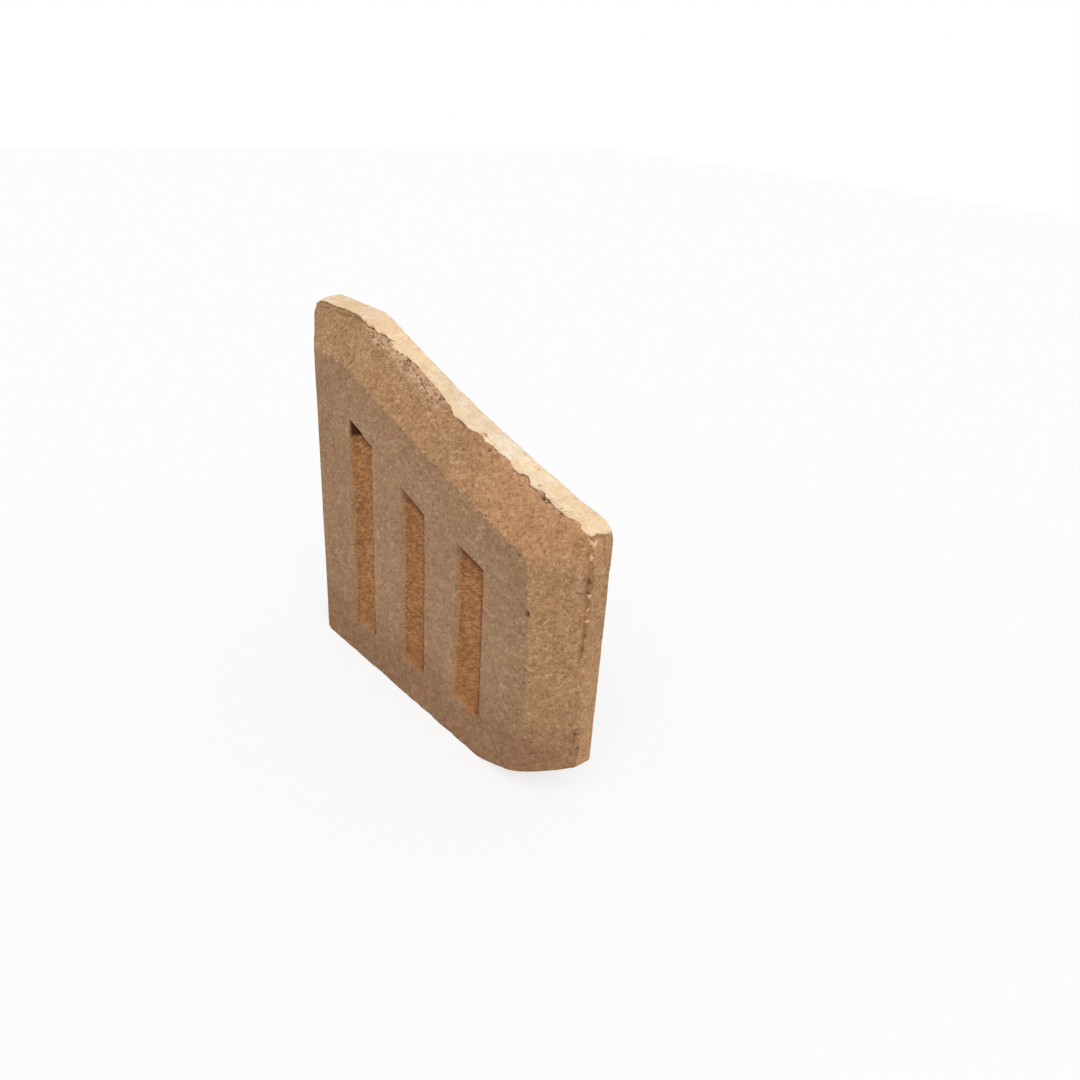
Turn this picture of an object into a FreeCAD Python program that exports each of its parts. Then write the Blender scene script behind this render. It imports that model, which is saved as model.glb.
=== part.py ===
import FreeCAD, Part
import math
import os
import Sketcher

# Moulded refractory firebrick: a thin upright plate with one flat rear face.
# Its slotted face is bevelled along the tall end, the top and the low end,
# back to a narrow land. The top falls from the tall end to the low end with
# a slight sag, and the underside curves up at the low end.
# All sizes are in millimetres. X runs along the brick from the tall end,
# the slotted face looks to -Y and the brick stands on Z = 0.

doc = FreeCAD.newDocument("Firebrick")
sizes = doc.addObject("Spreadsheet::Sheet", "Sizes")

cellValues = [
    ("brickLength", 230.0),
    ("brickThickness", 28.0),
    ("tallHeight", 202.5),
    ("lowHeight", 149.5),
    ("flatTopLength", 53.5),
    ("topSagRadius", 985.0),
    ("landThickness", 13.6),
    # The slotted face inside its bevels.
    ("tallBevelWidth", 23.0),
    ("lowBevelWidth", 24.5),
    ("lowBevelFootWidth", 19.5),
    ("faceTallHeight", 178.6),
    ("faceLowHeight", 132.0),
    ("faceFlatEnd", 55.5),
    ("faceSagRadius", 1340.0),
    # The toe: how far the underside's curve runs before the low end, and how
    # high it rises there.
    ("toeLength", 53.5),
    ("toeRise", 21.6),
    ("toeRadius", 335.0),
    # Roundings of the outline's corners.
    ("bendRadius", 40.0),
    ("toeBendRadius", 30.0),
    ("tallCornerRadius", 8.0),
    ("lowCornerRadius", 9.5),
    ("toeCornerRadius", 2.0),
    # Slots: slanted tops, drafted sides, a shallow flat floor.
    ("firstSlotStart", 57.9),
    ("slotPitch", 48.4),
    ("slotWidth", 21.3),
    ("slotDepth", 3.0),
    ("slotDraft", 15.0),
    # Roundings of the arrises.
    ("faceArrisRadius", 2.0),
    ("rearArrisRadius", 1.0),
    ("slotFloorRadius", 1.5),
    # How far outlines and cuts run past the surfaces that end them.
    ("overrun", 4.0),
]
# Each slot's own shape, from the tall end: its heights at the top left, the
# top right and the foot, and how far its left side spreads out at the foot.
slotShapes = (
    ("One", 149.4, 141.4, 21.5, 4.5),
    ("Two", 129.0, 121.2, 22.5, 2.0),
    ("Three", 117.4, 112.1, 23.8, 3.0),
)
for name, leftTop, rightTop, foot, spread in slotShapes:
    cellValues += [
        ("slot%sLeftTop" % name, leftTop),
        ("slot%sRightTop" % name, rightTop),
        ("slot%sFoot" % name, foot),
        ("slot%sSpread" % name, spread),
    ]
for row, (alias, value) in enumerate(cellValues, start=1):
    sizes.set("A%d" % row, alias)
    sizes.set("B%d" % row, str(value))
    sizes.setAlias("B%d" % row, alias)
doc.recompute()

brick = doc.addObject("PartDesign::Body", "FirebrickBody")
brick.Label = "firebrick"

# How far a point may lie from a corner or plane and still count as on it.
near = 0.01


def read(alias):
    return float(sizes.getContents(sizes.getCellFromAlias(alias)))


def vec(x, y):
    return FreeCAD.Vector(x, y, 0)


def uprightSketch(name, offsetFormula):
    # A sketch on a plane parallel to the slotted face, moved towards it.
    plane = [item for item in brick.Origin.OriginFeatures if item.Role == "XZ_Plane"][0]
    sketch = brick.newObject("Sketcher::SketchObject", name)
    sketch.AttachmentSupport = (plane, "")
    sketch.MapMode = "FlatFace"
    sketch.setExpression("AttachmentOffset.Base.z", offsetFormula)
    return sketch


def arcBetween(start, end, radius):
    # Counter-clockwise arc whose centre lies above its chord.
    chord = end - start
    across = vec(-chord.y, chord.x) / chord.Length
    centre = (start + end) / 2 + across * math.sqrt(radius ** 2 - (chord.Length / 2) ** 2)
    first = math.atan2(start.y - centre.y, start.x - centre.x)
    last = math.atan2(end.y - centre.y, end.x - centre.x)
    return Part.ArcOfCircle(Part.Circle(centre, FreeCAD.Vector(0, 0, 1), radius), first, last)


def drawLoop(sketch, corners, arcEdge=None, radiusAlias=None):
    # Straight edges from corner to corner, one of them bowed to an arc.
    count = len(corners)
    for edge, start in enumerate(corners):
        end = corners[(edge + 1) % count]
        if edge == arcEdge:
            sketch.addGeometry(arcBetween(start, end, read(radiusAlias)))
        else:
            sketch.addGeometry(Part.LineSegment(start, end))
    for edge in range(count):
        sketch.addConstraint(Sketcher.Constraint("Coincident", edge, 2, (edge + 1) % count, 1))
    if arcEdge is not None:
        index = sketch.addConstraint(Sketcher.Constraint("Radius", arcEdge, read(radiusAlias)))
        sketch.renameConstraint(index, radiusAlias)
        sketch.setExpression("Constraints." + radiusAlias, "Sizes." + radiusAlias)


def pin(sketch, corner, name, xFormula, yFormula):
    # Hold a loop's corner at a distance from the sketch's origin.
    point = sketch.getPoint(corner, 1)
    distances = (("DistanceX", xFormula, point.x), ("DistanceY", yFormula, point.y))
    for kind, formula, value in distances:
        if formula is not None:
            index = sketch.addConstraint(Sketcher.Constraint(kind, -1, 1, corner, 1, value))
            sketch.renameConstraint(index, name + kind[-1])
            sketch.setExpression("Constraints." + name + kind[-1], formula)


def outline(sketch, tallEnd, lowEnd, lowFoot, bend, tall, low, sagRadius):
    # Upright tall end, short flat top, sagging top, low end that may lean.
    # The foot runs below the underside, which is cut flat later. Each end
    # comes as its place along the brick and the formula for it.
    foot = -read("overrun")
    corners = (
        vec(tallEnd[0], foot),
        vec(tallEnd[0], read(tall)),
        vec(read(bend), read(tall)),
        vec(lowEnd[0], read(low)),
        vec(lowFoot[0], foot),
    )
    drawLoop(sketch, corners, 2, sagRadius)
    for direction, edge in (("Vertical", 0), ("Horizontal", 1), ("Horizontal", 4)):
        sketch.addConstraint(Sketcher.Constraint(direction, edge))
    if tallEnd[1] is None:
        sketch.addConstraint(Sketcher.Constraint("PointOnObject", 0, 1, -2))
    pin(sketch, 0, "foot", tallEnd[1], "-Sizes.overrun")
    pin(sketch, 2, "bend", "Sizes." + bend, "Sizes." + tall)
    pin(sketch, 3, "lowTop", lowEnd[1], "Sizes." + low)
    pin(sketch, 4, "lowFoot", lowFoot[1], None)


# The land, from the flat rear face forward to where the bevels begin.
landSketch = uprightSketch("LandOutline", "Sizes.landThickness - Sizes.brickThickness / 2")
landLowEnd = (read("brickLength"), "Sizes.brickLength")
outline(
    landSketch,
    (0, None),
    landLowEnd,
    landLowEnd,
    "flatTopLength",
    "tallHeight",
    "lowHeight",
    "topSagRadius",
)
land = brick.newObject("PartDesign::Pad", "Land")
land.Profile = landSketch
land.Reversed = True
land.setExpression("Length", "Sizes.landThickness")
doc.recompute()

# The slotted face and the three bevels that join it to the land. The low
# bevel is narrower at its foot, so the face's low side leans.
faceSketch = uprightSketch("SlottedFaceOutline", "Sizes.brickThickness / 2")
faceTallEnd = (read("tallBevelWidth"), "Sizes.tallBevelWidth")
faceLowEnd = (
    read("brickLength") - read("lowBevelWidth"),
    "Sizes.brickLength - Sizes.lowBevelWidth",
)
faceLowFoot = (
    read("brickLength") - read("lowBevelFootWidth"),
    "Sizes.brickLength - Sizes.lowBevelFootWidth",
)
outline(
    faceSketch,
    faceTallEnd,
    faceLowEnd,
    faceLowFoot,
    "faceFlatEnd",
    "faceTallHeight",
    "faceLowHeight",
    "faceSagRadius",
)
bevels = brick.newObject("PartDesign::AdditiveLoft", "Bevels")
bevels.Profile = landSketch
bevels.Sections = [faceSketch]
bevels.Ruled = True
doc.recompute()

# The underside is cut flat from the tall end to the toe, then along a
# shallow curve that rises to the low end.
undersideSketch = uprightSketch("UndersideCurve", "Sizes.brickThickness / 2")
toeStart = read("brickLength") - read("toeLength")
past = read("overrun")
below = -2 * past
drawLoop(
    undersideSketch,
    (
        vec(-past, 0),
        vec(toeStart, 0),
        vec(read("brickLength"), read("toeRise")),
        vec(read("brickLength") + past, read("toeRise")),
        vec(read("brickLength") + past, below),
        vec(-past, below),
    ),
    1,
    "toeRadius",
)
for direction, edge in (("Horizontal", 0), ("Horizontal", 2), ("Vertical", 3), ("Horizontal", 4)):
    undersideSketch.addConstraint(Sketcher.Constraint(direction, edge))
undersideSketch.addConstraint(Sketcher.Constraint("Vertical", 5))
undersideSketch.addConstraint(Sketcher.Constraint("PointOnObject", 0, 1, -1))
pin(undersideSketch, 1, "toeStart", "Sizes.brickLength - Sizes.toeLength", None)
pin(undersideSketch, 2, "toeEnd", "Sizes.brickLength", "Sizes.toeRise")
pin(undersideSketch, 4, "lowSide", "Sizes.brickLength + Sizes.overrun", "-2 * Sizes.overrun")
pin(undersideSketch, 5, "tallSide", "-Sizes.overrun", None)
underside = brick.newObject("PartDesign::Pocket", "Underside")
underside.Profile = undersideSketch
underside.Type = "ThroughAll"
doc.recompute()


def joining(*corners):
    # Edges whose two ends stand at these corners of the outlines.
    def test(ends, middle):
        return all(any(math.hypot(end.x - x, end.z - z) < near for x, z in corners) for end in ends)

    return test


def flatAt(level, lowest=0.0):
    # Edges that lie in one upright plane across the brick, from a height up.
    def test(ends, middle):
        return middle.z >= lowest and all(abs(point.y - level) < near for point in ends + [middle])

    return test


def roundEdges(base, name, alias, test):
    names = []
    for number, edge in enumerate(base.Shape.Edges, start=1):
        middle = edge.valueAt((edge.FirstParameter + edge.LastParameter) / 2)
        if test([vertex.Point for vertex in edge.Vertexes], middle):
            names.append("Edge%d" % number)
    fillet = brick.newObject("PartDesign::Fillet", name)
    fillet.Base = (base, names)
    fillet.setExpression("Radius", "Sizes." + alias)
    doc.recompute()
    return fillet


# The bend in the top, the bend of the toe and the land's corners are rounded.
landBend = (read("flatTopLength"), read("tallHeight"))
faceBend = (read("faceFlatEnd"), read("faceTallHeight"))
toeBend = (toeStart, 0)
tallCorner = (0, read("tallHeight"))
lowCorner = (read("brickLength"), read("lowHeight"))
toeCorner = (read("brickLength"), read("toeRise"))
step = roundEdges(underside, "TopBend", "bendRadius", joining(landBend, faceBend))
step = roundEdges(step, "ToeBend", "toeBendRadius", joining(toeBend))
step = roundEdges(step, "TallCorner", "tallCornerRadius", joining(tallCorner))
step = roundEdges(step, "LowCorner", "lowCornerRadius", joining(lowCorner))
step = roundEdges(step, "ToeCorner", "toeCornerRadius", joining(toeCorner))

# The slotted face's upper and side arrises are worn round, the rear face's
# only broken.
rearLevel = read("brickThickness") / 2
faceLevel = -rearLevel
faceEdges = flatAt(faceLevel, read("toeRise"))
step = roundEdges(step, "FaceArris", "faceArrisRadius", faceEdges)
step = roundEdges(step, "RearArris", "rearArrisRadius", flatAt(rearLevel))

# Shallow upright slots with slanted tops and drafted sides, sunk in the
# slotted face at one pitch.
for order, (name, leftTop, rightTop, foot, spread) in enumerate(slotShapes):
    start = read("firstSlotStart") + order * read("slotPitch")
    end = start + read("slotWidth")
    sketch = uprightSketch("Slot" + name + "Outline", "Sizes.brickThickness / 2")
    corners = (
        vec(start, leftTop),
        vec(start - spread, foot),
        vec(end, foot),
        vec(end, rightTop),
    )
    drawLoop(sketch, corners)
    left = "Sizes.firstSlotStart + %d * Sizes.slotPitch" % order
    right = left + " + Sizes.slotWidth"
    height = "Sizes.slot" + name
    pin(sketch, 0, "leftTop", left, height + "LeftTop")
    pin(sketch, 1, "leftFoot", left + " - " + height + "Spread", height + "Foot")
    pin(sketch, 2, "rightFoot", right, height + "Foot")
    pin(sketch, 3, "rightTop", right, height + "RightTop")
    step = brick.newObject("PartDesign::Pocket", "Slot" + name)
    step.Profile = sketch
    step.setExpression("Length", "Sizes.slotDepth")
    step.setExpression("TaperAngle", "-Sizes.slotDraft")
    doc.recompute()
floorEdges = flatAt(faceLevel + read("slotDepth"))
roundEdges(step, "SlotFloors", "slotFloorRadius", floorEdges)

brick.setExpression("Placement.Base.x", "-Sizes.brickLength / 2")
doc.recompute()

for item in doc.Objects:
    if "Invalid" in item.State or "Error" in item.State:
        raise RuntimeError(item.Label + " didn't build")
if brick.Shape.isNull() or not brick.Shape.isValid():
    raise RuntimeError("the brick's solid isn't valid")

os.makedirs("parts", exist_ok=True)
brick.Shape.exportStep("parts/" + brick.Label + ".step")
print(brick.Label, "volume", round(brick.Shape.Volume), "faces", len(brick.Shape.Faces))
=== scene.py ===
import math
from types import SimpleNamespace

import bpy
import numpy as np
from mathutils import Matrix, Vector


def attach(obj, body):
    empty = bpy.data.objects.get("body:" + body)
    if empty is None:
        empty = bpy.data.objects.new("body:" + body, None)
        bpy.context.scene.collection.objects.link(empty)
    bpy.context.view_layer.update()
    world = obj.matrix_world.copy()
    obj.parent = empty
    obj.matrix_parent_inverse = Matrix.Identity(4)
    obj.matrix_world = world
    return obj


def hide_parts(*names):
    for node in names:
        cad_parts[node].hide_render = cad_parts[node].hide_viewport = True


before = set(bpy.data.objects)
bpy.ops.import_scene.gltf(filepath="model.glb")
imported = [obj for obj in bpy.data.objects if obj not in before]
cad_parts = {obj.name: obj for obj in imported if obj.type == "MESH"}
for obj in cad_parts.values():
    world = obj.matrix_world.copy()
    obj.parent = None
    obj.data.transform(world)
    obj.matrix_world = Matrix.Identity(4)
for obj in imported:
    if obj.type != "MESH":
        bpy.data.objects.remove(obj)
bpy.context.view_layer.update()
print("frame loaded")

# Sizes in millimetres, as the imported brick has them. Places along the brick
# are counted from its tall end, places across it from the slotted face.
brick = {
    "length": 230.0,
    "thickness": 28.0,
    "tallHeight": 202.5,
    "lowHeight": 149.5,
    "flatTop": 53.5,
    "topSag": 985.0,
    "topBend": 3.0,  # height over which the bend is eased
    "bevelDepth": 14.4,
    "tallBevel": 23.0,
    "lowBevel": 24.5,
    "faceTall": 178.6,
    "faceLow": 132.0,
    "faceFlat": 55.5,
    "faceSag": 1340.0,
    "faceBend": 2.6,
    "toeStart": 176.5,
    "toeRise": 21.6,
    "toeBow": 335.0,
    "toeBend": 1.6,
    "tallCorner": 8.0,
    "lowCorner": 9.5,
    "lowCornerStart": 0.2,  # share of the round at which it leaves the slope
    "toeCorner": 2.0,
    "toeCornerStart": 0.48,
    "rearArris": 1.0,
    "bendReach": 12.0,  # how far before a bend its arc already counts
    "farAway": 400.0,  # a height that no easing reaches
    "seed": 20,
}
rng = np.random.default_rng(brick["seed"])


def smoothStep(low, high, value):
    # 0 below low, 1 above high, and an s-curve between them
    t = np.clip((value - low) / (high - low), 0, 1)
    return t * t * (3 - 2 * t)


def between(value, start, full, fade, end):
    # 1 from full to fade, running out to 0 at start and at end
    return smoothStep(start, full, value) * smoothStep(end, fade, value)


def bell(value, centre, half):
    # 1 at the centre, falling off as e to the minus square
    return np.exp(-((value - centre) / half) ** 2)


def softMax(a, b, blend):
    # the larger of two heights, with the corner between them filled by a parabola
    gap = np.maximum(blend - np.abs(a - b), 0)
    return np.maximum(a, b) + gap * gap / (4 * blend)


def softMin(a, b, blend):
    return -softMax(-a, -b, blend)


class Lattice:
    # Smooth random heights in space: random numbers on a cubic lattice of one
    # cell size, blended by an s-curve along each axis. Values run -1 to 1.
    count = 24

    def __init__(self):
        self.table = rng.uniform(-1, 1, (self.count,) * 3)

    def __call__(self, x, y, z, cell):
        corners, shares = [], []
        for value in (x, y, z):
            place = np.asarray(value, float) / cell
            low = np.floor(place)
            share = place - low
            shares.append(share * share * (3 - 2 * share))
            corners.append(low.astype(int))
        total = 0
        for steps in np.ndindex(2, 2, 2):
            weight = 1
            for step, share in zip(steps, shares):
                weight = weight * (share if step else 1 - share)
            spot = [(low + step) % self.count for low, step in zip(corners, steps)]
            total = total + weight * self.table[tuple(spot)]
        return total


swell, pebble, crumb, tear = Lattice(), Lattice(), Lattice(), Lattice()


def arcThrough(x, startX, startZ, endX, endZ, radius, offset=0.0):
    # height of a hanging arc through two points, its centre above the chord
    half = math.hypot(endX - startX, endZ - startZ) / 2
    rise = math.sqrt(radius ** 2 - half ** 2) / (2 * half)
    centreX = (startX + endX) / 2 - (endZ - startZ) * rise
    centreZ = (startZ + endZ) / 2 + (endX - startX) * rise
    return centreZ - np.sqrt(np.maximum((radius + offset) ** 2 - (x - centreX) ** 2, 0))


def topArc(x, offset=0.0):
    b = brick
    start, end = (b["flatTop"], b["tallHeight"]), (b["length"], b["lowHeight"])
    return arcThrough(x, *start, *end, b["topSag"], offset)


def toeArc(x, offset=0.0):
    b = brick
    return arcThrough(x, b["toeStart"], 0.0, b["length"], b["toeRise"], b["toeBow"], offset)


def faceArc(x):
    b = brick
    start, end = (b["faceFlat"], b["faceTall"]), (b["length"] - b["lowBevel"], b["faceLow"])
    return arcThrough(x, *start, *end, b["faceSag"])


def pastBend(x, bend, arc, otherwise):
    # the arc from a little before its bend, and the other height before that
    start = bend - brick["bendReach"]
    return np.where(x > start, arc(np.maximum(x, start)), otherwise)


def landTopRaw(x):
    # flat over the tall end, then the sagging slope, with the bend between them eased
    slope = pastBend(x, brick["flatTop"], topArc, brick["farAway"])
    return softMin(slope, brick["tallHeight"], brick["topBend"])


def landTop(x):
    # the same line, with a quarter round at both ends
    tall, low, length = brick["tallCorner"], brick["lowCorner"], brick["length"]
    z = landTopRaw(x)
    tallDrop = brick["tallHeight"] - tall + np.sqrt(np.maximum(tall ** 2 - (tall - x) ** 2, 0))
    z = np.where(x < tall, tallDrop, z)
    centreX, centreZ = length - low, float(topArc(length - low, low))
    lowDrop = centreZ + np.sqrt(np.maximum(low ** 2 - (x - centreX) ** 2, 0))
    return np.where(x > centreX + low * brick["lowCornerStart"], np.minimum(lowDrop, z), z)


def landFoot(x):
    # flat underside, then the toe's rising curve and its small corner round
    corner, length = brick["toeCorner"], brick["length"]
    z = softMax(pastBend(x, brick["toeStart"], toeArc, -brick["farAway"]), 0.0, brick["toeBend"])
    centreX, centreZ = length - corner, float(toeArc(length - corner, -corner))
    rise = centreZ - np.sqrt(np.maximum(corner ** 2 - (x - centreX) ** 2, 0))
    return np.where(x > centreX + corner * brick["toeCornerStart"], np.maximum(rise, z), z)


def faceTop(x):
    # the upper arris of the slotted face, run on past both of its ends
    slope = pastBend(x, brick["faceFlat"], faceArc, brick["farAway"])
    return softMin(slope, brick["faceTall"], brick["faceBend"])


# Slots: places of the left and right sides, heights of the top at both sides
# and of the foot, how far the left side spreads at the foot, how far in from
# it the floor keeps a pale band without the floors' brown, and how much wider
# the band is at the foot.
slotKeys = ("left", "right", "leftTop", "rightTop", "foot", "spread", "pale", "lean")
slots = [dict(zip(slotKeys, values)) for values in (
    (57.9, 79.2, 149.4, 141.4, 21.5, 4.5, 0.4, 0.8),
    (106.3, 127.6, 129.0, 121.2, 22.5, 2.0, 0.9, 0.0),
    (154.7, 176.0, 117.4, 112.1, 23.8, 3.0, 0.9, 0.0),
)]
recess = {
    "depth": 3.0,
    "wallSlope": 3.7,  # depth gained per millimetre in from a side
    "footSlope": 1.0,  # the foot runs out more gently
    "footEase": 0.6,
    "floorEase": 1.4,
    "bandEnd": 14.0,  # how far under the top the wider pale band begins
}

# Wear from moulding, firing and handling, in millimetres. The land's front
# arris is ragged: "reach" says how far it stands back (or, below zero, hangs
# forward as a lip) at places along the top and at heights up the low end.
wear = {
    "uneven": [(swell, 0.14, 42.0), (pebble, 0.08, 6.5), (crumb, 0.05, 2.6)],  # height and cell
    "faceArris": 0.5,
    "toeArris": 5.5,  # how much softer the low bevel's arris gets towards the toe
    "topPlaces": [0, 6, 17, 28, 38, 46, 54, 58, 65, 71, 76, 81, 86, 90, 94, 101, 107, 112, 117,
                  120, 125, 128, 130, 133, 136, 140, 144, 148, 152, 156, 160, 163, 167, 171,
                  174, 178, 181, 185, 188, 190, 196, 198, 200, 203, 207, 209, 213, 216, 219,
                  222, 224, 227, 230],
    "topReach": [0.2, -0.2, -0.8, -0.2, 0.1, -0.6, -1.5, -1.6, 0.4, 1.6, 2.8, 3.1, 2.6, 2.8,
                 3.1, 2.9, 2.1, 2.1, 2.2, 1.6, 0.7, 0.7, -0.1, -0.8, -1.3, -0.7, -0.3, 0.7,
                 1.1, 0.5, 0.5, 1.0, 0.8, 1.2, 0.9, 0.4, 0.6, 1.7, 0.8, -0.6, 0.8, 0.6, -0.4,
                 -0.3, -0.3, -0.4, -0.2, 0.0, 0.7, 0.8, 0.0, 0.3, -0.6],
    "lip": 0.75,  # how far a lip stands forward
    "tornFrom": (50, 64, 116, 128),  # stretch of the top that is torn into layers
    "layers": [(1.6, 0.4, 0.9), (3.3, 0.4, 1.0), (5.2, 0.45, 0.7), (8.0, 0.5, 0.5)],
    "seamFrom": (5, 14, 46, 56),
    "seamBelow": 3.4,
    "lowArrisHeights": [0, 18, 33, 46, 64, 81, 102, 131, 150],
    "lowArrisPlaces": [206.0, 207.5, 209.3, 210.4, 210.6, 210.0, 208.6, 205.3, 203.6],
    "lowHeights": [20, 25, 37, 55, 69, 78, 90, 106, 119, 128, 139, 146, 150],
    "lowReach": [1.9, 2.1, 3.1, 1.7, -0.6, 1.1, 2.0, 1.4, 1.1, 1.2, -0.3, -2.3, -2.7],
    # pale crumbs and dark chips along the low end's arris: height, half size, share
    "crumbs": [(138.6, 0.9, 0.9), (136.9, 0.4, 0.7), (118.4, 1.2, 1.0), (112.6, 0.7, 0.8),
               (110.8, 0.5, 0.7), (105.8, 0.9, 0.8), (88.0, 0.4, 0.5)],
    "chips": [(125.2, 1.2, 0.9), (119.6, 1.5, 0.7), (112.8, 0.9, 0.6), (97.6, 1.1, 0.5),
              (90.4, 0.9, 0.8), (66.0, 1.6, 0.5), (41.0, 1.4, 0.6)],
    "crumbHeight": 0.8,
    "chipDepth": 0.8,
    "lowSeam": 0.4,
    "hollow": 5.0,
    "pit": 2.2,
    "pitPlace": (207.4, 103.7),
    "pitSize": (1.1, 1.9),
    "tallRub": 2.2,  # rubbed off the tall end's top corner, at the front
    "toeRub": 1.2,  # rubbed off the toe's corner, at the rear
    "least": 0.02,  # how far inside the solid every point stays
    "thinnest": 4.0,
}


def eased(count, edge):
    # places from 0 to 1 that crowd towards both ends
    t = np.linspace(0, 1, count + 1)[:-1]
    return t - edge * np.sin(2 * math.pi * t) / (2 * math.pi)


# The front grid. Its columns run up the brick and bend to follow each slot's
# leaning left side; its rows follow the foot line, the slot tops, the face's
# upper arris and the land's top, so that every arris lies on a grid line.
# Columns and rows: how many between two lines, and how they crowd to them.
grid = {
    "columns": [(34, 0.55), (46, 0.75), (38, 0.86), (44, 0.84), (38, 0.86), (44, 0.84),
                (38, 0.86), (44, 0.8), (42, 0.55)],
    "rows": [(30, 0.8), (98, 0.9), (36, 0.8), (46, 0.7)],
    "footPlaces": [0, 53.4, 79.2, 104.3, 127.6, 151.7, 176.0, 205.5, 230],
    "footHeights": [21, 21.5, 21.5, 22.5, 22.5, 23.8, 23.8, 32, 46],
    "slotTopPlaces": [0, 57.9, 79.2, 106.3, 127.6, 154.7, 176.0, 205.5, 230],
    "slotTopHeights": [168, 149.4, 141.4, 129.0, 121.2, 117.4, 112.1, 106, 101],
    "rearRows": 10,
    "landRows": 9,
    "landEdge": 0.5,
}


def gridLines(spans):
    # for every line of the grid, its span and how far along the span it lies
    span = [np.full(count, k) for k, (count, edge) in enumerate(spans)] + [[len(spans) - 1]]
    share = [eased(count, edge) for count, edge in spans] + [[1.0]]
    return np.concatenate(span), np.concatenate(share)


def frontGrid():
    # x and z of every grid point, rows by columns
    columnSpan, columnShare = gridLines(grid["columns"])
    rowSpan, rowShare = gridLines(grid["rows"])
    # how far along the slot's height a row lies, 0 at the foot and 1 at the top
    up = np.where(rowSpan == 0, 0.0, np.where(rowSpan == 1, rowShare, 1.0))
    sides = [0 * up, 0 * up + brick["tallBevel"]]
    for slot in slots:
        sides.append(slot["left"] - slot["spread"] * (1 - up))
        sides.append(0 * up + slot["right"])
    sides += [0 * up + brick["length"] - brick["lowBevel"], 0 * up + brick["length"]]
    sides = np.stack(sides, axis=1)
    x = sides[:, columnSpan] * (1 - columnShare) + sides[:, columnSpan + 1] * columnShare
    levels = np.stack([
        landFoot(x),
        np.interp(x, grid["footPlaces"], grid["footHeights"]),
        np.interp(x, grid["slotTopPlaces"], grid["slotTopHeights"]),
        faceTop(x),
        landTop(x),
    ])
    span, share = rowSpan[:, None], rowShare[:, None]
    row, column = np.arange(x.shape[0])[:, None], np.arange(x.shape[1])[None, :]
    z = levels[span, row, column] * (1 - share) + levels[span + 1, row, column] * share
    return x, z


def slotInset(slot, x, z):
    # distance in from the slot's mouth to each side, positive inside
    up = (z - slot["foot"]) / (slot["leftTop"] - slot["foot"])
    left = x - (slot["left"] - slot["spread"] * (1 - up))
    right = slot["right"] - x
    fall = (slot["leftTop"] - slot["rightTop"]) / (slot["right"] - slot["left"])
    top = (slot["leftTop"] - (x - slot["left"]) * fall - z) / math.hypot(1, fall)
    foot = z - slot["foot"]
    return left, right, top, foot


def slotDepth(x, z):
    # Depth of the slots alone: steep drafted walls that run into a flat floor
    # with a small hollow, and a softer slope at the foot.
    floor = np.zeros_like(x)
    for slot in slots:
        left, right, top, foot = slotInset(slot, x, z)
        walls = np.minimum(np.minimum(left, right), top) * recess["wallSlope"]
        walls = softMin(walls, foot * recess["footSlope"], recess["footEase"])
        floor = np.maximum(floor, softMin(walls, recess["depth"], recess["floorEase"]))
    return floor


def bevelDepth(x, z):
    # How far the bevels fall back from the plane of the slotted face: the
    # deepest of the three planes, with a worn ease where two of them meet.
    full, length = brick["bevelDepth"], brick["length"]
    arrisX = np.interp(z, wear["lowArrisHeights"], wear["lowArrisPlaces"])
    tall = full * (brick["tallBevel"] - x) / brick["tallBevel"]
    lowEnd = (full + 1.5) * (x - arrisX) / (length - arrisX)
    line = faceTop(x)
    top = full * (z - line) / (landTopRaw(x) - line)
    ease = wear["faceArris"] + 0.2 * swell(x, 3.0, z, 17.0)
    depth = softMax(np.zeros_like(x), tall, ease * 1.1)
    depth = softMax(depth, top, ease)
    return softMax(depth, lowEnd, ease + wear["toeArris"] * smoothStep(62, 18, z))


def bevelRise(x, z):
    # the same planes without any ease, below zero on the slotted face
    arrisX = np.interp(z, wear["lowArrisHeights"], wear["lowArrisPlaces"])
    furthest = np.maximum(np.maximum(brick["tallBevel"] - x, x - arrisX), z - faceTop(x))
    return furthest * 0.6


def topArris(s):
    # The land's front arris along the top: torn back in places, in others a
    # pale lip that hangs a millimetre or two over the bevel in rounded lobes.
    x, flat = s.x, 0 * s.z
    reach = np.interp(x, wear["topPlaces"], wear["topReach"])
    s.reach = reach + 0.35 * crumb(x, 5.0, flat, 3.8) + 0.25 * tear(x, 9.0, flat, 2.6)
    lipLine = 0.35 + 0.75 * np.maximum(-s.reach, 0) + 0.35 * (1 + tear(x, 2.0, flat, 3.1))
    s.lipLine = lipLine * smoothStep(1.2, -0.2, s.reach) + 0.05
    lipRound = np.sqrt(np.clip(1 - (s.below / s.lipLine) ** 2, 0, 1))
    lip = -wear["lip"] * lipRound * smoothStep(0.8, -0.4, s.reach) * smoothStep(1.0, 7.0, x)
    back = np.maximum(s.reach, 0)
    return lip + back * smoothStep(back * 1.2 + 1.0, 0.0, s.below) ** 1.4


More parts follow.
